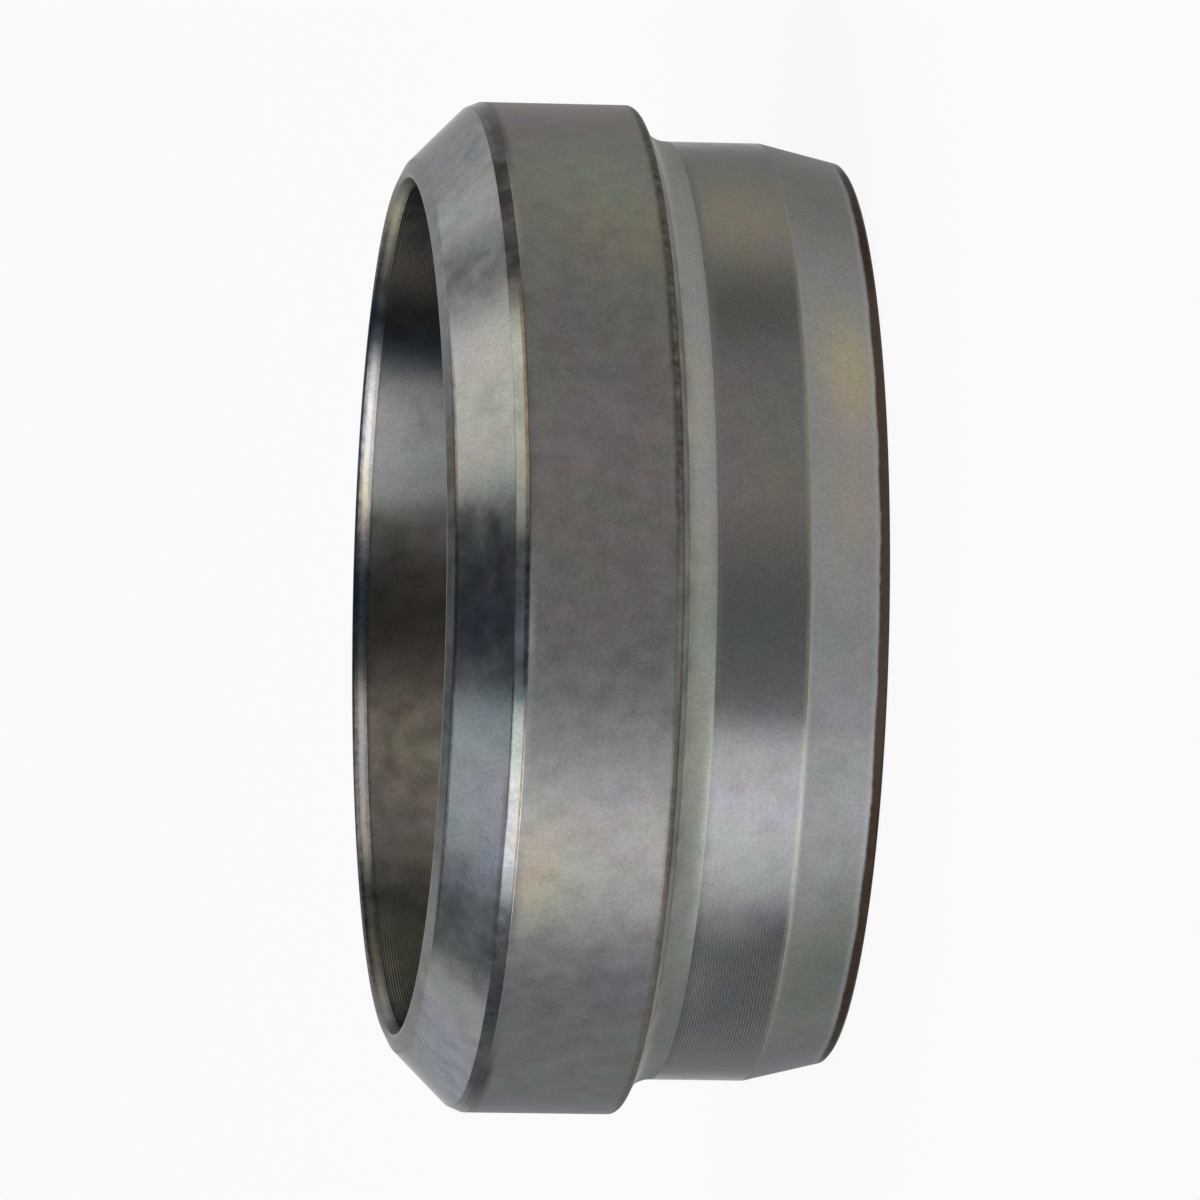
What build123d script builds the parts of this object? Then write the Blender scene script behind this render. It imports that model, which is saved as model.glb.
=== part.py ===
"""Bite ring (cutting ring) for a 25 mm metal tube in a 24 degree compression fitting.

One turned steel ring. Its axis is Z and its nose, the cutting end, is down at Z = 0,
so the ring stands on its end as it would on a bench. The 45 degree cone that the
union nut presses on is at the top. All sizes are in millimetres.
"""

import os
from math import radians, tan

from build123d import *

# Tube and bore
tube_diameter = 25.0
tube_clearance = 0.1                # gap between the tube and the bore, all round
bore_radius = tube_diameter / 2 + tube_clearance

# Outside of the ring, from the nose up to the cone end
ring_length = 12.8
barrel_wall = 1.35                  # the thinner front part, which bows as the nut is tightened
nose_taper_length = 2.34
nose_taper_angle = 13.5             # from the axis, a little steeper than the fitting's cone
nose_edge_bevel = 0.08              # broken outer edge of the nose

# Step from the barrel up to the collar, which slides inside the nut
collar_step = 1.05                  # how far the collar stands out past the barrel, all round
barrel_top = 5.1                    # height at which the step's hollow foot begins
shoulder_angle = 64.0               # flank of the step, from the axis
shoulder_foot_radius = 1.0
shoulder_edge_radius = 0.2

# Cone end, which the nut presses on
pressure_cone_angle = 45.0          # from the axis
pressure_cone_length = 1.92         # from the end face's height down to the collar
pressure_cone_edge_bevel = 0.22     # narrow bright band between the cone and the collar
lip_width = 0.41                    # shallow bevel between the cone and the end face
lip_drop = 0.2                      # how far that bevel falls from the end face
mouth_flare = 0.13                  # how far the bore's mouth widens, all round
mouth_depth = 0.43
mouth_edge_radius = 0.12

# Cutting edges: one on the nose's end face, one behind the chip groove
first_edge_land = 0.25              # narrow cylinder behind the first edge
second_edge_height = 2.1            # above the nose's end face
chip_groove_depth = 0.4
chip_face_lean = 15.0               # makes the second edge sharper than a square corner
groove_slope = 18.0                 # of the relief behind the first edge, from the axis

# Radii and heights that follow from the sizes above
barrel_radius = bore_radius + barrel_wall
collar_radius = barrel_radius + collar_step
nose_radius = barrel_radius - nose_taper_length * tan(radians(nose_taper_angle))

cone_foot_height = ring_length - pressure_cone_length
cone_top_height = ring_length - lip_drop
cone_rise = cone_top_height - cone_foot_height
cone_top_radius = collar_radius - cone_rise * tan(radians(pressure_cone_angle))
end_face_radius = cone_top_radius - lip_width

# The flank's two ends are where it would meet the barrel and the collar unrounded.
flank_foot_height = barrel_top + shoulder_foot_radius * tan(radians(shoulder_angle / 2))
flank_rise = collar_step / tan(radians(shoulder_angle))
flank_top_height = flank_foot_height + flank_rise

groove_radius = bore_radius + chip_groove_depth
relief_top_height = first_edge_land + chip_groove_depth / tan(radians(groove_slope))
chip_face_height = second_edge_height + chip_groove_depth * tan(radians(chip_face_lean))

mouth_radius = bore_radius + mouth_flare
mouth_foot_height = ring_length - mouth_depth


def corner(sketch, radius, height):
    """The corner of the section that lies nearest to this radius and height."""
    return sketch.vertices().sort_by_distance((radius, height))[0]


with BuildPart() as bite_ring:
    with BuildSketch(Plane.XZ) as section:
        # The turned blank: half of its section, out to the collar
        with BuildLine():
            Polyline(
                (0, 0),
                (nose_radius, 0),
                (barrel_radius, nose_taper_length),
                (barrel_radius, flank_foot_height),
                (collar_radius, flank_top_height),
                (collar_radius, cone_foot_height),
                (cone_top_radius, cone_top_height),
                (end_face_radius, ring_length),
                (0, ring_length),
                close=True,
            )
        make_face()
        chamfer(corner(section, nose_radius, 0), nose_edge_bevel)
        fillet(corner(section, barrel_radius, flank_foot_height), shoulder_foot_radius)
        fillet(corner(section, collar_radius, flank_top_height), shoulder_edge_radius)
        chamfer(corner(section, collar_radius, cone_foot_height), pressure_cone_edge_bevel)

        # What the boring tools take out: the bore, its flared mouth and the chip groove
        with BuildLine():
            Polyline(
                (0, 0),
                (bore_radius, 0),
                (bore_radius, first_edge_land),
                (groove_radius, relief_top_height),
                (groove_radius, chip_face_height),
                (bore_radius, second_edge_height),
                (bore_radius, mouth_foot_height),
                (mouth_radius, ring_length),
                (0, ring_length),
                close=True,
            )
        make_face(mode=Mode.SUBTRACT)
        fillet(corner(section, mouth_radius, ring_length), mouth_edge_radius)
    revolve(axis=Axis.Z)

bite_ring.part.label = "bite_ring"

os.makedirs("parts", exist_ok=True)
export_step(bite_ring.part, "parts/bite_ring.step")
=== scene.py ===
"""The look of a bite ring: one turned steel ring, zinc plated and passivated.

The ring's axis is Z. Its nose, the cutting end, stands on the floor at Z = 0, and the cone
that the nut presses on is up. The camera lies on its side, so that the axis runs across the
picture with the cone end on the left.
"""

from math import cos, pi, radians, sin, tan

import bpy
import numpy as np
from mathutils import Matrix, Vector


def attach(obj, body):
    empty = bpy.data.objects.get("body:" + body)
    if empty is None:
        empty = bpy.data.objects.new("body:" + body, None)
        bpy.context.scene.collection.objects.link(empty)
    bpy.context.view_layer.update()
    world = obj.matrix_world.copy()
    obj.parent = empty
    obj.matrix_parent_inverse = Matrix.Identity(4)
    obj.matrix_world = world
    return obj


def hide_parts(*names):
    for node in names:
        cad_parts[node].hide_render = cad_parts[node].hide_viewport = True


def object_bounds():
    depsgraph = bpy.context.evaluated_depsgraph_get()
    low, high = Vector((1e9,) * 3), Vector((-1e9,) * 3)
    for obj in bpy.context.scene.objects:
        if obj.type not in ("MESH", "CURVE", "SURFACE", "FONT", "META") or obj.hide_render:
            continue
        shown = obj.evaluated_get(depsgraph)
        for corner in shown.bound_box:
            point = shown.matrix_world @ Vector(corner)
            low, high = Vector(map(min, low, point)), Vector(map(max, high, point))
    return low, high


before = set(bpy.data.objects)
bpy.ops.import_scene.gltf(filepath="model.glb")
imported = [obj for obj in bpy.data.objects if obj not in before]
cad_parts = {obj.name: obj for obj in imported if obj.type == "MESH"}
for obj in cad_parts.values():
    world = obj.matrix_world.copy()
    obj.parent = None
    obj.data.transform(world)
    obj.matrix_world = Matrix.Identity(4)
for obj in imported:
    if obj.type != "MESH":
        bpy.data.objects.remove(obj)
cad_low, cad_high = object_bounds()

MM = 0.001

# The ring's section: radii and heights in metres
collar_radius = cad_high.x
ring_top = cad_high.z
bore_radius = 12.6 * MM
barrel_radius = 13.95 * MM
nose_taper_length = 2.34 * MM
nose_taper_angle = radians(13.5)
flank_foot_height = 5.725 * MM
flank_top_height = 6.237 * MM
cone_foot_height = 10.88 * MM
band_leg = 0.22 * MM
lip_width = 0.41 * MM
lip_drop = 0.2 * MM
mouth_flare = 0.13 * MM
mouth_depth = 0.43 * MM
nose_bevel = 0.08 * MM
first_edge_land = 0.25 * MM
second_edge_height = 2.1 * MM
chip_face_height = 2.207 * MM
chip_groove_depth = 0.4 * MM
relief_top_height = 1.481 * MM

nose_radius = barrel_radius - nose_taper_length * tan(nose_taper_angle)
cone_top_height = ring_top - lip_drop
cone_top_radius = collar_radius - (cone_top_height - cone_foot_height)
groove_radius = bore_radius + chip_groove_depth

# Roundings of the section's corners
cutting_edge_rounding = 0.02 * MM
nose_edge_rounding = 0.03 * MM
taper_top_rounding = 0.5 * MM
foot_rounding = 1.0 * MM
shoulder_edge_rounding = 0.2 * MM
band_edge_rounding = 0.06 * MM
lip_edge_rounding = 0.1 * MM
mouth_edge_rounding = 0.12 * MM
bore_edge_rounding = 0.06 * MM
groove_corner_rounding = 0.08 * MM

# How finely the section and the turn round the axis are divided
section_step = 0.25 * MM
rounding_step = radians(6)
least_rounding_points = 4
least_straight_points = 2
turn_steps = 360
x_turn = 90                         # the turn of +X, counted in degrees from the camera's side

# The clouds of the film and of painted reflections: the zone; the turn from the camera's side
# towards +X, in degrees; the height in millimetres; the spread of the turn in degrees; the rise in
# millimetres; and the tint at the middle. The mild ones are the passivation film's tint. The darker
# and brighter ones are painted reflections and highlights of a room that the lamps don't give,
# the darkest and the brightest most of all.
FILM_AND_REFLECTION_CLOUDS = [
    ("collar", 80, 9.0, 9, 4.0, (1.36, 1.16, 1.2)),
    ("collar", 58, 7.5, 12, 5.0, (1.24, 1.3, 1.16)),
    ("collar", 46, 7.2, 7, 2.0, (1.16, 1.1, 0.92)),
    ("collar", 30, 8.5, 8, 5.0, (0.87, 0.88, 0.87)),
    ("collar", 15, 8.0, 12, 4.0, (1.04, 0.95, 0.96)),
    ("collar", -16, 8.5, 6, 5.0, (0.84, 0.84, 0.84)),
    ("collar", -8, 8.5, 10, 5.0, (0.9, 0.9, 0.92)),
    ("collar", -31, 10.2, 6, 1.2, (1.15, 1.05, 0.85)),
    ("collar", -46, 8.5, 12, 5.0, (0.86, 0.88, 0.92)),
    ("collar", -66, 8.5, 10, 5.0, (1.0, 1.08, 1.1)),
    ("collar", -80, 8.5, 6, 5.0, (1.0, 1.02, 1.22)),
    ("taper", 31, 1.0, 8, 0.9, (1.46, 1.24, 0.92)),
    ("taper", 14, 1.0, 6, 0.9, (1.14, 1.06, 0.94)),
    ("taper", 62, 1.2, 14, 3.0, (0.76, 0.76, 0.72)),
    ("taper", -6, 1.2, 8, 3.0, (0.88, 0.88, 0.9)),
    ("taper", -25, 1.2, 10, 3.0, (1.1, 1.12, 1.16)),
    ("taper", -50, 1.2, 16, 3.0, (0.58, 0.6, 0.56)),
    ("taper", -69, 1.2, 7, 3.0, (0.82, 0.83, 0.84)),
    ("taper", -82, 1.2, 9, 3.0, (0.78, 0.84, 0.86)),
    ("barrel", 66, 3.8, 9, 3.0, (1.2, 1.22, 1.14)),
    ("barrel", 54, 3.8, 9, 3.0, (1.5, 1.4, 1.14)),
    ("barrel", 39, 3.8, 7, 3.0, (0.7, 0.7, 0.64)),
    ("barrel", 15, 3.8, 10, 3.0, (1.2, 1.1, 1.0)),
    ("barrel", 0, 3.8, 9, 5.0, (0.72, 0.76, 0.76)),
    ("barrel", -25, 3.8, 10, 5.0, (1.3, 1.3, 1.34)),
    ("barrel", -41, 2.6, 6, 1.0, (0.8, 0.82, 0.84)),
    ("barrel", -41, 4.3, 3, 1.3, (1.5, 1.5, 1.48)),
    ("barrel", -52, 3.8, 10, 3.0, (0.72, 0.78, 0.78)),
    ("barrel", -51, 5.1, 5, 0.8, (1.4, 1.38, 1.34)),
    ("barrel", -70, 3.8, 8, 3.0, (1.04, 1.12, 1.14)),
    ("barrel", 84, 3.8, 8, 3.0, (0.66, 0.66, 0.66)),
    ("barrel", -84, 3.8, 8, 3.0, (0.45, 0.52, 0.54)),
    ("foot", 0, 6.1, 400, 0.3, (1.7, 1.66, 1.6)),
    ("foot", 0, 6.0, 400, 0.14, (1.4, 1.4, 1.4)),
    ("foot", 22, 5.7, 16, 3.0, (1.2, 1.17, 1.12)),
    ("foot", -18, 5.7, 10, 3.0, (1.12, 1.1, 1.08)),
    ("foot", -56, 5.7, 20, 3.0, (0.7, 0.73, 0.75)),
    ("foot", -84, 5.7, 8, 3.0, (0.56, 0.62, 0.68)),
    ("cone", 70, 11.8, 14, 3.0, (1.1, 1.12, 1.1)),
    ("cone", 38, 11.8, 5, 3.0, (0.84, 0.84, 0.84)),
    ("cone", 25, 11.8, 9, 3.0, (1.06, 1.02, 0.96)),
    ("cone", -2, 11.8, 7, 3.0, (0.8, 0.85, 0.95)),
    ("cone", -38, 11.8, 8, 3.0, (0.98, 1.03, 1.12)),
    ("cone", -76, 11.8, 14, 3.0, (1.24, 1.3, 1.42)),
    ("lip", 16, 12.7, 8, 9.0, (1.15, 1.0, 0.9)),
    ("band", 82, 10.8, 7, 9.0, (0.5, 0.48, 0.47)),
    ("band", 68, 10.8, 8, 9.0, (0.5, 0.47, 0.45)),
    ("band", 49, 10.8, 9, 9.0, (1.5, 1.38, 1.24)),
    ("band", 37, 10.8, 4, 9.0, (0.76, 0.76, 0.72)),
    ("band", 25, 10.8, 3, 9.0, (0.78, 0.76, 0.74)),
    ("band", 14, 10.8, 6, 9.0, (0.8, 0.77, 0.74)),
    ("band", -2, 10.8, 7, 9.0, (1.4, 1.55, 1.75)),
    ("band", -36, 10.8, 6, 9.0, (0.6, 0.63, 0.68)),
    ("band", -51, 10.8, 7, 9.0, (0.75, 0.83, 0.95)),
    ("band", -67, 10.8, 8, 9.0, (0.25, 0.26, 0.34)),
    ("band", -82, 10.8, 7, 9.0, (0.46, 0.47, 0.5)),
    ("mouth", 112, 12.6, 12, 9.0, (1.5, 1.46, 1.2)),
    ("mouth", 137, 12.6, 7, 9.0, (0.25, 0.33, 0.4)),
    ("mouth", 165, 12.6, 5, 9.0, (1.05, 0.9, 0.75)),
    ("mouth", 180, 12.6, 6, 9.0, (0.5, 0.72, 0.85)),
    ("mouth", 232, 12.6, 14, 9.0, (1.2, 1.15, 0.95)),
    ("bore", 141, 11.0, 8, 9.0, (0.14, 0.19, 0.23)),
    ("bore", 160, 11.0, 8, 9.0, (0.82, 0.84, 0.92)),
    ("bore", 181, 11.0, 9, 9.0, (0.5, 0.46, 0.4)),
    ("bore", 200, 11.0, 10, 9.0, (1.9, 1.75, 1.6)),
    ("bore", 219, 11.0, 10, 9.0, (1.5, 1.46, 1.4)),
    ("bore", 243, 11.0, 16, 9.0, (2.1, 2.1, 1.9)),
]

# Where the tool's feed marks stand out: zone, turn and its spread in degrees
MARKED_TURNS = [
    ("barrel", -60, 20), ("bore", 115, 24), ("bore", 245, 24), ("cone", 74, 16), ("cone", -74, 16),
    ("mouth", 115, 24), ("mouth", 245, 24), ("taper", -60, 20),
]

# Lines along the edges, each on the border of two zones: the zones; how far past the border it
# lies, on the second zone's side, half its width, how far it fades and how far it wanders, in
# millimetres; its strength and colour; and the turn it is seen round, with its spread, in degrees.
# The sky-blue lines are painted highlights and the slate ones painted dark reflections.
UMBER, BROWN, RUST = (0.072, 0.052, 0.039), (0.04, 0.028, 0.02), (0.13, 0.085, 0.055)
# The slate colour is a painted dark reflection; the near-black one is a plain near-black line.
NEAR_BLACK, SLATE_REFLECTION = (0.035, 0.03, 0.032), (0.04, 0.05, 0.07)
# The sky colour is a painted highlight.
STRAW, SKY_HIGHLIGHT = (0.34, 0.335, 0.26), (0.38, 0.41, 0.46)
ALL_ROUND = (0, 400)
EDGE_LINES = [
    ("nose_edge", "taper", 0.3, 0.0, 0.16, 0.02, 0.25, SKY_HIGHLIGHT, (0, 80)),
    ("nose_edge", "taper", -0.02, 0.18, 0.13, 0.03, 1.3, UMBER, (-2, 72)),
    ("nose_edge", "taper", -0.02, 0.18, 0.13, 0.03, 1.3, UMBER, (180, 74)),
    ("nose_edge", "taper", -0.02, 0.18, 0.08, 0.03, 0.8, BROWN, (62, 16)),
    ("nose_edge", "taper", -0.02, 0.18, 0.08, 0.03, 0.8, BROWN, (-50, 30)),
    ("taper", "barrel", 0.0, 0.02, 0.14, 0.02, 0.35, STRAW, (-8, 56)),
    ("shoulder_edge", "collar", -0.06, 0.05, 0.2, 0.03, 0.7, BROWN, (48, 40)),
    ("shoulder_edge", "collar", -0.1, 0.05, 0.16, 0.03, 0.45, BROWN, (-52, 44)),
    ("shoulder_edge", "collar", -0.1, 0.05, 0.16, 0.03, 0.3, BROWN, (-4, 14)),
    ("shoulder_edge", "collar", -0.06, 0.05, 0.12, 0.03, 0.5, BROWN, (180, 80)),
    ("collar", "band", 0.06, 0.05, 0.07, 0.02, 0.6, NEAR_BLACK, (2, 11)),
    ("collar", "band", 0.05, 0.04, 0.06, 0.02, 0.8, RUST, (25, 13)),
    ("collar", "band", 0.04, 0.01, 0.05, 0.015, 0.7, RUST, (-23, 13)),
    ("collar", "band", 0.13, 0.1, 0.06, 0.03, 0.4, BROWN, (78, 14)),
    ("collar", "band", 0.13, 0.1, 0.06, 0.03, 0.4, BROWN, (-80, 14)),
    ("band", "cone", -0.01, 0.01, 0.06, 0.015, 0.5, BROWN, (-16, 9)),
    ("band", "cone", 0.06, 0.02, 0.14, 0.03, 0.35, SLATE_REFLECTION, (-32, 12)),
    ("cone", "lip", 0.0, 0.03, 0.09, 0.02, 0.5, NEAR_BLACK, (-4, 38)),
    ("lip", "mouth", 0.02, 0.03, 0.08, 0.01, 0.4, SKY_HIGHLIGHT, (0, 100)),
    ("lip", "mouth", 0.1, 0.08, 0.12, 0.02, 0.65, SLATE_REFLECTION, (180, 70)),
    ("mouth", "bore", -0.03, 0.02, 0.12, 0.03, 0.45, SLATE_REFLECTION, ALL_ROUND),
]

# Colours and sizes of the finish
edge_tint = (0.55, 0.55, 0.55)
film_tints = [
    (0.25, (0.95, 1.02, 1.0)),
    (0.42, (0.98, 1.01, 0.96)),
    (0.52, (1.04, 0.98, 0.97)),
    (0.62, (1.0, 0.98, 1.05)),
    (0.78, (0.96, 1.0, 1.04)),
]
cloud_size, cloud_detail, cloud_distortion = 2.6 * MM, 3.0, 0.6
mottle_size, mottle_detail = 0.7 * MM, 4.0
grain_size, grain_detail = 0.09 * MM, 2.0
speckle_size, speckle_detail = 0.25 * MM, 3.0
wander_size, wander_detail = 1.5 * MM, 3.0
mottle_spread = 0.13
grain_spread = 0.1
speckle_range = (0.7, 1.3)
noise_range = (0.3, 0.7)            # the middle range, which noise seldom leaves
wander_gain = 4                     # from noise about zero to a swing of about one
line_end = (0.75, 1.25)             # where a line's end fades, as shares of its spread of turn
least_mark = 0.05
mark_shade = 200 / MM               # how much a mark darkens the tone, for each metre of its depth
mark_drift = (3.0, 90.0)            # how often the marks' depth drifts, round and along the section
drift_range = (0.3, 1.0)
roughness_spread = 0.04
grain_depth = 0.0004 * MM
highlight_turn = 0.25               # a quarter turn, so that highlights stretch along the axis

# Lamps, room and floor
lamp_distance = 0.6
room_colour = (0.07, 0.08, 0.095)
floor_half = 3.0
paper_colour = (0.9, 0.9, 0.9)
white_glow = 1.0
glow_share = 0.9                    # of what the camera and the metal see of the floor

# The photograph's view: 1200 pixels wide, seen from a little above the floor
picture_pixels = 1200
pixels_per_mm = 33.69
view_elevation = radians(7.08)
view_roll = radians(1.03)
aim_height = 12.79 * MM
aim_pixel = (398.3, 605.8)
camera_distance = 392.2 * MM
camera_reach = (0.01, 100)
sensor_width = 36.0


def add_node(tree, kind, inputs=None, **settings):
    """A new node with its settings, and its inputs set to values or linked to sockets."""
    node = tree.nodes.new(kind)
    for name, value in settings.items():
        setattr(node, name, value)
    for key, value in (inputs or {}).items():
        if isinstance(value, bpy.types.NodeSocket):
            tree.links.new(value, node.inputs[key])
        else:
            node.inputs[key].default_value = value
    return node


def section_corners():
    """The section's corners, counter-clockwise from the first cutting edge, each as its
    radius, height and rounding, the zone of its rounding and the zone that follows it."""
    return [
        (bore_radius, 0, cutting_edge_rounding, "nose_face", "nose_face"),
        (nose_radius - nose_bevel, 0, nose_edge_rounding, "nose_edge", "nose_edge"),
        (
            nose_radius + nose_bevel * tan(nose_taper_angle),
            nose_bevel,
            nose_edge_rounding, "nose_edge", "taper",
        ),
        (barrel_radius, nose_taper_length, taper_top_rounding, "taper", "barrel"),
        (barrel_radius, flank_foot_height, foot_rounding, "foot", "flank"),
        (collar_radius, flank_top_height, shoulder_edge_rounding, "shoulder_edge", "collar"),
        (collar_radius, cone_foot_height - band_leg, band_edge_rounding, "band", "band"),
        (
            collar_radius - band_leg * cos(pi / 4),
            cone_foot_height + band_leg * sin(pi / 4),
            band_edge_rounding, "band", "cone",
        ),
        (cone_top_radius, cone_top_height, lip_edge_rounding, "lip", "lip"),
        (cone_top_radius - lip_width, ring_top, lip_edge_rounding, "lip", "lip"),
        (bore_radius + mouth_flare, ring_top, mouth_edge_rounding, "mouth", "mouth"),
        (bore_radius, ring_top - mouth_depth, bore_edge_rounding, "mouth", "bore"),
        (bore_radius, second_edge_height, cutting_edge_rounding, "chip_groove", "chip_groove"),
        (groove_radius, chip_face_height, groove_corner_rounding, "chip_groove", "chip_groove"),
        (groove_radius, relief_top_height, groove_corner_rounding, "chip_groove", "chip_groove"),
        (bore_radius, first_edge_land, cutting_edge_rounding, "chip_groove", "nose_face"),
    ]


def section():
    """The closed section as points, outward normals and the zone after each point.

    Each corner becomes an arc of its rounding, tangent to both sides: it starts the
    rounding times the tangent of half the turn before the corner, and its points are the
    centre plus the rounding times a normal that turns evenly. A straight stretch is
    divided evenly from one arc's end to the next arc's start."""
    corners = section_corners()
    place = np.array([c[:2] for c in corners])
    ahead = np.roll(place, -1, axis=0) - place
    ahead = ahead / np.linalg.norm(ahead, axis=1)[:, None]
    behind = np.roll(ahead, 1, axis=0)
    turn = np.arctan2(
        behind[:, 0] * ahead[:, 1] - behind[:, 1] * ahead[:, 0], (behind * ahead).sum(axis=1)
    )
    rounding = np.array([c[2] for c in corners])
    reach = rounding * np.tan(np.abs(turn) / 2)
    arc_start = place - behind * reach[:, None]
    arc_end = place + ahead * reach[:, None]

    points, normals, zones = [], [], []
    for i, (_, _, radius, rounding_zone, next_zone) in enumerate(corners):
        outward = np.array([behind[i, 1], -behind[i, 0]])
        side = np.sign(turn[i])
        centre = arc_start[i] - side * radius * outward
        count = max(least_rounding_points, int(np.ceil(abs(turn[i]) / rounding_step)))
        angle = turn[i] * np.arange(count) / count
        turned = np.stack(
            [
                outward[0] * np.cos(angle) - outward[1] * np.sin(angle),
                outward[0] * np.sin(angle) + outward[1] * np.cos(angle),
            ],
            axis=1,
        )
        points.append(centre + side * radius * turned)
        normals.append(turned)
        zones += [rounding_zone] * count

        stretch = arc_start[(i + 1) % len(corners)] - arc_end[i]
        count = int(np.ceil(np.linalg.norm(stretch) / section_step))
        count = max(least_straight_points, count)
        share = np.arange(count)[:, None] / count
        points.append(arc_end[i] + stretch * share)
        normals.append(np.tile([ahead[i, 1], -ahead[i, 0]], (count, 1)))
        zones += [next_zone] * count
    return np.concatenate(points), np.concatenate(normals), zones


def way_round(points):
    """The way round the closed section at each point, and its whole length."""
    steps = np.linalg.norm(np.roll(points, -1, axis=0) - points, axis=1)
    return np.concatenate([[0], np.cumsum(steps)[:-1]]), steps.sum()


def film_and_reflection_tint(zones, heights, turn):
    """The passivation film's colour with painted reflections and highlights at each point, as a
    share of the plain metal's colour.

    Each cloud takes its zone from no change at its rim to its own tint at its middle. Its
    weight is e to the minus (turn from its middle over its spread) squared, minus the same
    of its height."""
    film_and_reflection = np.ones((len(zones), len(turn), 4))
    for zone, middle, height, spread, rise, tint in FILM_AND_REFLECTION_CLOUDS:
        away = (turn - middle + 180) % 360 - 180
        weight = np.exp(
            -((away[None, :] / spread) ** 2)
            - ((heights[:, None] - height * MM) / (rise * MM)) ** 2
        )
        weight = weight * (zones == zone)[:, None]
        film_and_reflection[..., :3] *= 1 + weight[..., None] * (np.array(tint) - 1)
    return film_and_reflection.reshape(-1, 4)


def mark_share(zones, turn):
    """How deep the feed marks are at each point, from the least share to 1: e to the minus
    (turn from a marked turn over its spread) squared."""
    share = np.full((len(zones), len(turn)), least_mark)
    for zone, middle, spread in MARKED_TURNS:
        away = (turn - middle + 180) % 360 - 180
        weight = np.exp(-((away / spread) ** 2)) * (zones == zone)[:, None]
        share = np.maximum(share, weight)
    return share


def zone_border(first, second):
    """The way round the section to the point where the first zone ends and the second begins."""
    points, _, zones = section()
    zones = np.array(zones)
    ends = np.flatnonzero((zones == first) & (np.roll(zones, -1) == second))[-1]
    return way_round(points)[0][ends + 1]


def store(mesh, name, kind, field, values):
    """Keeps one value for each point of the mesh under a name that materials can read."""
    attribute = mesh.attributes.new(name, kind, "POINT")
    attribute.data.foreach_set(field, values.astype(np.float32).ravel())


def turned_ring(name, materials):
    """The section turned round the axis: a point at radius r and angle a goes to
    (r cos a, r sin a, z), and its normal turns with it. The UV map holds the turn's share
    across and the share of the way round the section up."""
    points, normals, zones = section()
    rows = len(points)
    angle = 2 * pi * np.arange(turn_steps) / turn_steps
    round_x, round_y = np.cos(angle), np.sin(angle)

    def turned(radial, axial):
        grid = np.empty((rows, turn_steps, 3))
        grid[..., 0] = radial[:, None] * round_x
        grid[..., 1] = radial[:, None] * round_y
        grid[..., 2] = axial[:, None]
        return grid.reshape(-1, 3)

    row = np.repeat(np.arange(rows), turn_steps)
    column = np.tile(np.arange(turn_steps), rows)
    next_row, next_column = (row + 1) % rows, (column + 1) % turn_steps
    faces = np.stack(
        [
            row * turn_steps + column,
            row * turn_steps + next_column,
            next_row * turn_steps + next_column,
            next_row * turn_steps + column,
        ],
        axis=1,
    )
    mesh = bpy.data.meshes.new(name)
    mesh.from_pydata(turned(points[:, 0], points[:, 1]), [], faces)

    names = list(materials)
    for material in materials.values():
        mesh.materials.append(material)
    zone_index = np.array([names.index(z) for z in zones], np.int32)
    mesh.polygons.foreach_set("material_index", zone_index[row])
    mesh.polygons.foreach_set("use_smooth", np.ones(len(faces), bool))

    way, length = way_round(points)
    along = np.append(way / length, 1)
    uv = np.stack(
        [
            np.stack([column, column + 1, column + 1, column], axis=1) / turn_steps,
            np.stack([along[row], along[row], along[row + 1], along[row + 1]], axis=1),
        ],
        axis=2,
    )
    mesh.uv_layers.new(name="turning").data.foreach_set("uv", uv.astype(np.float32).ravel())

    turn = np.degrees(angle) + x_turn
    # The film's tint and the painted reflections and highlights, kept on the ring's points
    film_and_reflection = film_and_reflection_tint(np.array(zones), points[:, 1], turn)
    store(mesh, "film_and_reflection", "FLOAT_COLOR", "color", film_and_reflection)
    store(mesh, "marks", "FLOAT", "value", mark_share(np.array(zones), turn))
    mesh.normals_split_custom_set_from_vertices(turned(normals[:, 0], normals[:, 1]))
    mesh.update()
    ring = bpy.data.objects.new(name, mesh)
    bpy.context.scene.collection.objects.link(ring)
    return ring


def scaled(tree, value, low, high):
    """Noise, spread from its middle range to low and high."""
    return add_node(
        tree, "ShaderNodeMapRange",
        {
            "Value": value, "From Min": noise_range[0], "From Max": noise_range[1],
            "To Min": low, "To Max": high,
        },
    ).outputs[0]


def arithmetic(tree, operation, first, second=0.0, clamp=False):
    """One step of arithmetic on numbers."""
    return add_node(
        tree, "ShaderNodeMath", {0: first, 1: second}, operation=operation, use_clamp=clamp
    ).outputs[0]


def product(tree, first, second):
    """One colour times another colour or number."""
    return add_node(
        tree, "ShaderNodeVectorMath", {0: first, 1: second}, operation="MULTIPLY"
    ).outputs[0]


def noise(tree, coordinates, size, detail, distortion=0.0):
    """Cloudy noise whose clouds are about as wide as size, in metres."""
    return add_node(
        tree,
        "ShaderNodeTexNoise",
        {"Vector": coordinates, "Scale": 1 / size, "Detail": detail, "Distortion": distortion},
    ).outputs[0]


def turning_place(tree):
    """The ring's own UV map: the place on it, the share of the turn and the way round the
    section in metres."""
    place = add_node(tree, "ShaderNodeUVMap", uv_map="turning").outputs[0]
    shares = add_node(tree, "ShaderNodeSeparateXYZ", {0: place})
    return place, shares.outputs[0], arithmetic(tree, "MULTIPLY", shares.outputs[1], section_length)


def fading(tree, value, near, far, strength=1.0):
    """Full strength up to near, then a smooth fall to nothing at far."""
    return add_node(
        tree, "ShaderNodeMapRange",
        {"Value": value, "From Min": near, "From Max": far, "To Min": strength, "To Max": 0.0},
        interpolation_type="SMOOTHSTEP",
    ).outputs[0]


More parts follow.
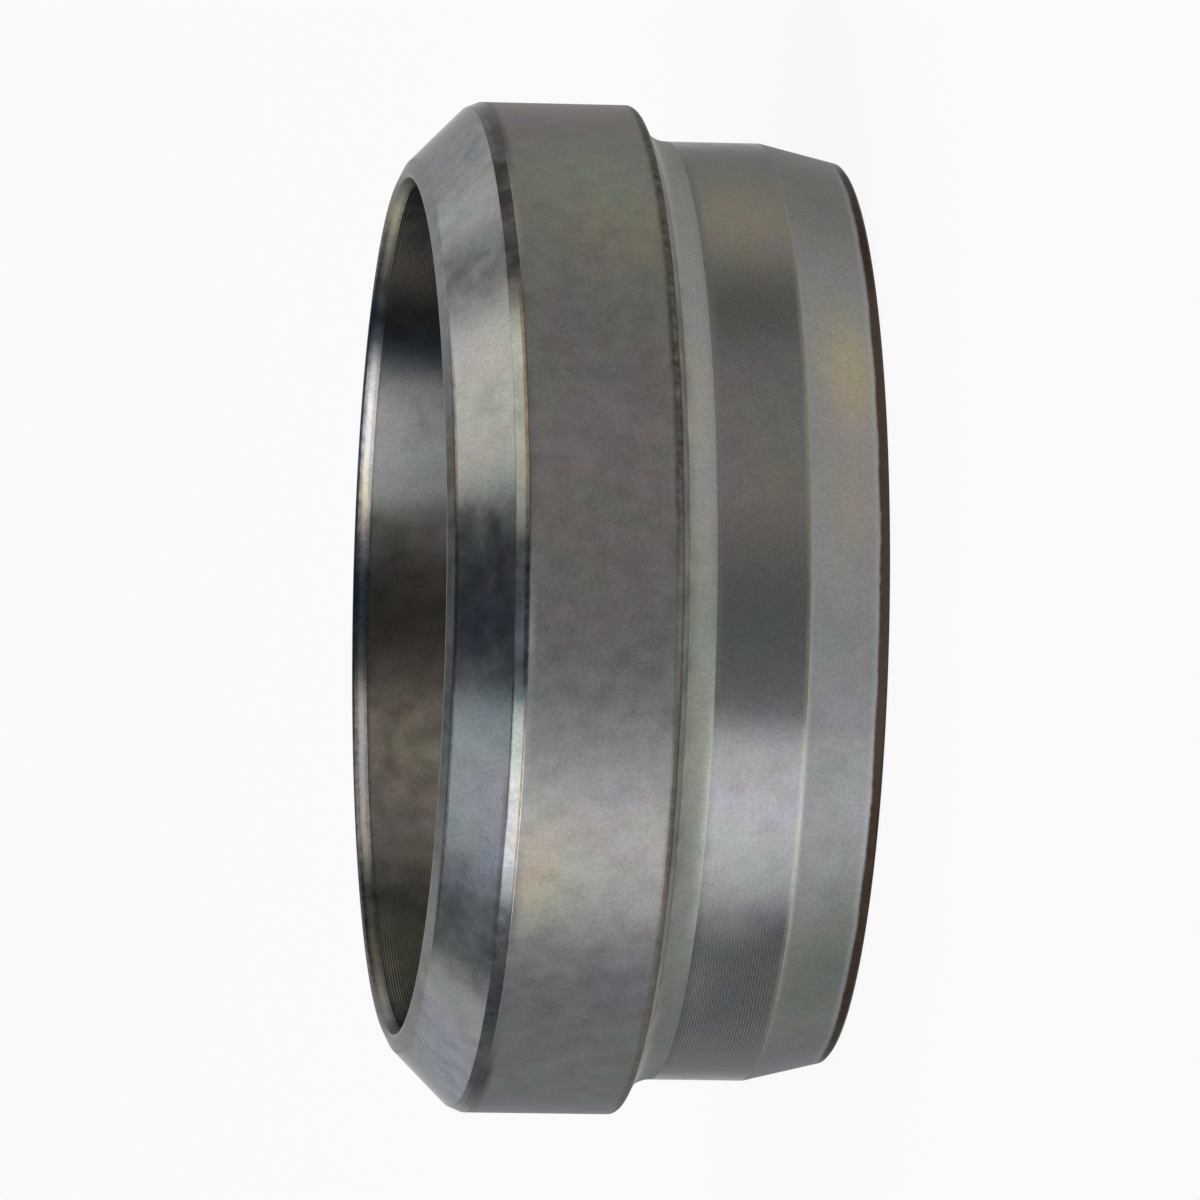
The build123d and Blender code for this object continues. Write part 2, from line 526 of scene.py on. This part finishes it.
def turning_marks(tree, pitch):
    """Height of the tool's feed marks: a sine wave along the section, whose depth drifts."""
    place, _, way = turning_place(tree)
    wave = arithmetic(tree, "SINE", arithmetic(tree, "MULTIPLY", way, 2 * pi / pitch))
    stretched = product(tree, place, (*mark_drift, 0))
    drift = add_node(tree, "ShaderNodeTexNoise", {"Vector": stretched, "Scale": 1.0}).outputs[0]
    depth = add_node(tree, "ShaderNodeAttribute", attribute_name="marks").outputs["Fac"]
    depth = arithmetic(tree, "MULTIPLY", depth, scaled(tree, drift, *drift_range))
    return arithmetic(tree, "MULTIPLY", wave, depth)


def edge_lines(tree, zone, tone, speckle):
    """The tone with the lines of this zone's edges laid over it. A line covers fully up to
    half its width from its middle, fades out beyond, and wanders to and fro as it goes round.
    A line that isn't seen all round fades out past its spread of turn."""
    place = add_node(tree, "ShaderNodeTexCoord").outputs["Object"]
    swing = noise(tree, place, wander_size, wander_detail)
    swing = arithmetic(tree, "SUBTRACT", swing, 0.5)
    _, share, way = turning_place(tree)
    degrees = arithmetic(tree, "ADD", arithmetic(tree, "MULTIPLY", share, 360), x_turn)
    for first, second, past, half, fade, wander, strength, colour, (middle, spread) in EDGE_LINES:
        if zone not in (first, second):
            continue
        moved = arithmetic(tree, "MULTIPLY", swing, wander_gain * wander * MM)
        moved = arithmetic(tree, "ADD", way, moved)
        away = arithmetic(tree, "SUBTRACT", moved, zone_border(first, second) + past * MM)
        away = arithmetic(tree, "ABSOLUTE", away)
        cover = fading(tree, away, half * MM, (half + fade) * MM, strength)
        cover = arithmetic(tree, "MULTIPLY", cover, speckle, clamp=True)
        if spread < 180:
            turned = arithmetic(tree, "SUBTRACT", degrees, middle)
            turned = add_node(
                tree, "ShaderNodeMath", {0: turned, 1: 180, 2: -180}, operation="WRAP"
            ).outputs[0]
            turned = arithmetic(tree, "ABSOLUTE", turned)
            ends = fading(tree, turned, line_end[0] * spread, line_end[1] * spread)
            cover = arithmetic(tree, "MULTIPLY", cover, ends)
        tone = add_node(
            tree, "ShaderNodeMix", {0: cover, 6: tone, 7: (*colour, 1)}, data_type="RGBA"
        ).outputs[2]
    return tone


def plated_metal(zone, name, colour, roughness, anisotropy, pitch, mark_depth, cloudiness):
    """Zinc plated, passivated steel in the tone of one zone: the film's clouds with painted
    reflections and highlights among them, finer clouds and a grain vary its colour, and dark
    deposit, painted dark reflections and painted highlights lie along its edges. The tool's feed
    marks shade it and give it relief, and the anisotropy stretches its highlights along the axis."""
    material = bpy.data.materials.new(name)
    material.use_nodes = True
    tree = material.node_tree
    shader = tree.nodes["Principled BSDF"]
    place = add_node(tree, "ShaderNodeTexCoord").outputs["Object"]

    clouds = noise(tree, place, cloud_size, cloud_detail, cloud_distortion)
    mottle = noise(tree, place, mottle_size, mottle_detail)
    grain = noise(tree, place, grain_size, grain_detail)

    tints = add_node(tree, "ShaderNodeValToRGB", {0: clouds})
    ramp = tints.color_ramp
    for spot, tint in zip(ramp.elements, (film_tints[0], film_tints[-1])):
        spot.position, spot.color = tint[0], (*tint[1], 1)
    for position, tint in film_tints[1:-1]:
        ramp.elements.new(position).color = (*tint, 1)

    # The film's tint and the painted reflections and highlights, read from the ring's points
    film_and_reflection = add_node(tree, "ShaderNodeAttribute", attribute_name="film_and_reflection").outputs["Color"]
    tone = product(tree, colour, film_and_reflection)
    tone = product(tree, tone, tints.outputs[0])
    spread = mottle_spread * cloudiness
    tone = product(tree, tone, scaled(tree, mottle, 1 - spread, 1 + spread))
    tone = product(tree, tone, scaled(tree, grain, 1 - grain_spread, 1 + grain_spread))

    marks = turning_marks(tree, pitch)
    shade = arithmetic(tree, "MULTIPLY", marks, mark_shade * mark_depth)
    tone = product(tree, tone, arithmetic(tree, "SUBTRACT", 1.0, shade))

    speckle = scaled(tree, noise(tree, place, speckle_size, speckle_detail), *speckle_range)
    tone = edge_lines(tree, zone, tone, speckle)

    wear = scaled(tree, mottle, roughness - roughness_spread, roughness + roughness_spread)
    relief = add_node(
        tree, "ShaderNodeBump", {"Height": marks, "Distance": mark_depth, "Strength": 1.0}
    ).outputs[0]
    relief = add_node(
        tree, "ShaderNodeBump",
        {"Height": grain, "Distance": grain_depth, "Strength": 1.0, "Normal": relief},
    ).outputs[0]
    tangent = add_node(tree, "ShaderNodeTangent", direction_type="RADIAL", axis="Z").outputs[0]

    shader.inputs["Metallic"].default_value = 1.0
    shader.inputs["Anisotropic"].default_value = anisotropy
    shader.inputs["Anisotropic Rotation"].default_value = highlight_turn
    shader.inputs["Specular Tint"].default_value = (*edge_tint, 1)
    for socket, value in (
        ("Base Color", tone), ("Roughness", wear), ("Normal", relief), ("Tangent", tangent)
    ):
        tree.links.new(value, shader.inputs[socket])
    return material


def ring_materials():
    """One finish for each zone of the ring: its tone, roughness and anisotropy, the pitch and
    depth of its feed marks, and how cloudy it is."""
    fine, coarse = 0.09 * MM, 0.083 * MM
    faint, clear, deep = 0.0004 * MM, 0.0012 * MM, 0.0024 * MM
    finishes = {
        "nose_face": ("cut end face", (0.25, 0.25, 0.24), 0.4, 0.4, fine, faint, 1.0),
        "nose_edge": ("browned nose edge", (0.2, 0.18, 0.16), 0.4, 0.2, fine, faint, 1.5),
        "taper": ("matt nose taper", (0.26, 0.265, 0.262), 0.5, 0.3, fine, faint, 0.6),
        "barrel": ("turned barrel", (0.152, 0.152, 0.152), 0.3, 0.85, fine, deep, 0.6),
        "foot": ("hollow foot", (0.25, 0.26, 0.24), 0.45, 0.3, fine, faint, 0.6),
        "flank": ("shoulder flank", (0.36, 0.365, 0.34), 0.5, 0.3, fine, faint, 0.8),
        "shoulder_edge": ("browned shoulder edge", (0.2, 0.19, 0.175), 0.42, 0.2, fine, faint, 1.5),
        "collar": ("clouded collar", (0.18, 0.178, 0.172), 0.42, 0.5, fine, faint, 1.1),
        "band": ("bright bevelled band", (0.27, 0.275, 0.265), 0.26, 0.3, fine, faint, 1.8),
        "cone": ("fine turned cone", (0.296, 0.304, 0.3), 0.22, 0.1, fine, clear, 1.3),
        "lip": ("bevelled lip", (0.296, 0.304, 0.3), 0.32, 0.4, fine, faint, 1.3),
        "mouth": ("flared mouth", (0.28, 0.27, 0.25), 0.27, 0.3, fine, faint, 1.2),
        "bore": ("bored tube seat", (0.2, 0.193, 0.18), 0.32, 0.8, coarse, deep, 0.4),
        "chip_groove": ("chip groove", (0.2, 0.2, 0.2), 0.35, 0.4, fine, faint, 1.0),
    }
    return {zone: plated_metal(zone, *finish) for zone, finish in finishes.items()}


def look_up(spread):
    """A point's direction from the ring, by azimuth from the camera's side towards +X and
    elevation above the floor, both in degrees."""
    azimuth, elevation = (radians(x) for x in spread)
    return Vector((sin(azimuth) * cos(elevation), -cos(azimuth) * cos(elevation), sin(elevation)))


def soft_box(name, direction, size, radiance, colour=(1, 1, 1)):
    """A flat lamp that faces the ring. A lamp of radiance 1 looks as bright as white paper."""
    lamp = bpy.data.lights.new(name, "AREA")
    lamp.shape = "RECTANGLE"
    lamp.size, lamp.size_y = size
    lamp.energy = radiance * pi * size[0] * size[1]
    lamp.color = colour
    box = bpy.data.objects.new(name, lamp)
    out = look_up(direction)
    box.location = Vector((0, 0, ring_top / 2)) + out * lamp_distance
    box.rotation_euler = out.to_track_quat("Z", "Y").to_euler()
    box.visible_camera = False
    bpy.context.scene.collection.objects.link(box)


def lights():
    """Soft boxes round the ring, and a dim plain room."""
    soft_box("low key box", (-52, 9), (0.52, 0.19), 6.1, (0.98, 1.0, 1.03))
    soft_box("high key box", (-50, 30), (0.46, 0.24), 3.0, (0.97, 1.0, 1.02))
    soft_box("side box", (52, 34), (0.53, 0.25), 1.9, (1.0, 0.97, 0.9))
    soft_box("upper right box", (96, 62), (0.28, 0.28), 1.3, (1.0, 0.98, 0.94))
    soft_box("upper left box", (-85, 64), (0.25, 0.28), 0.9, (0.94, 0.99, 1.07))
    soft_box("back box", (180, 24), (1.3, 0.62), 0.75)
    soft_box("right back box", (122, 44), (0.4, 0.3), 0.32)
    soft_box("left back box", (-122, 44), (0.4, 0.3), 0.14)
    soft_box("right low box", (115, 8), (0.45, 0.12), 0.4, (1.0, 0.96, 0.82))
    soft_box("left low box", (-115, 8), (0.45, 0.12), 0.7, (1.0, 0.96, 0.82))
    world = bpy.data.worlds.new("dim room")
    world.use_nodes = True
    world.node_tree.nodes["Background"].inputs["Color"].default_value = (*room_colour, 1)
    bpy.context.scene.world = world


def floor():
    """A wide pale floor that looks white to the eye and in the metal, and keeps a shadow. Its
    corners lie half its width either way along X and Y."""
    corners = [(-1, -1), (1, -1), (1, 1), (-1, 1)]
    mesh = bpy.data.meshes.new("floor")
    mesh.from_pydata([(x * floor_half, y * floor_half, 0) for x, y in corners], [], [(0, 1, 2, 3)])
    plane = bpy.data.objects.new("floor", mesh)
    bpy.context.scene.collection.objects.link(plane)
    material = bpy.data.materials.new("pale floor")
    material.use_nodes = True
    tree = material.node_tree
    tree.nodes.remove(tree.nodes["Principled BSDF"])
    path = add_node(tree, "ShaderNodeLightPath")
    seen = arithmetic(
        tree, "MAXIMUM", path.outputs["Is Camera Ray"], path.outputs["Is Glossy Ray"]
    )
    seen = arithmetic(tree, "MAXIMUM", seen, path.outputs["Is Transmission Ray"])
    share = arithmetic(tree, "MULTIPLY", seen, glow_share)
    paper = add_node(tree, "ShaderNodeBsdfDiffuse", {"Color": (*paper_colour, 1)})
    glow = add_node(tree, "ShaderNodeEmission", {"Color": (1, 1, 1, 1), "Strength": white_glow})
    mix = add_node(
        tree, "ShaderNodeMixShader", {0: share, 1: paper.outputs[0], 2: glow.outputs[0]}
    )
    tree.links.new(mix.outputs[0], tree.nodes["Material Output"].inputs["Surface"])
    mesh.materials.append(material)


def camera():
    """The photograph's camera: it looks along +Y and a little down, rolled so that the ring's
    axis runs to the left, and stands where the aim point falls on its pixel."""
    forward = Vector((0, cos(view_elevation), -sin(view_elevation)))
    axis_up = Vector((0, sin(view_elevation), cos(view_elevation)))
    side = Vector((1, 0, 0))
    right = -cos(view_roll) * axis_up + sin(view_roll) * side
    down = -sin(view_roll) * axis_up - cos(view_roll) * side
    metres_per_pixel = MM / pixels_per_mm
    centre = picture_pixels / 2
    offset = (
        right * (aim_pixel[0] - centre) * metres_per_pixel
        + down * (aim_pixel[1] - centre) * metres_per_pixel
        + forward * camera_distance
    )
    data = bpy.data.cameras.new("camera")
    data.sensor_width = sensor_width
    data.lens = sensor_width * camera_distance / (picture_pixels * metres_per_pixel)
    data.clip_start, data.clip_end = camera_reach
    eye = bpy.data.objects.new("camera", data)
    turn = Matrix((right, -down, -forward)).transposed().to_4x4()
    eye.matrix_world = Matrix.Translation(Vector((0, 0, aim_height)) - offset) @ turn
    bpy.context.scene.collection.objects.link(eye)
    bpy.context.scene.camera = eye


section_length = way_round(section()[0])[1]
ring = turned_ring("plated_bite_ring", ring_materials())
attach(ring, "root")
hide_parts("bite_ring")

floor()
lights()
camera()
bpy.context.scene.view_settings.view_transform = "Standard"
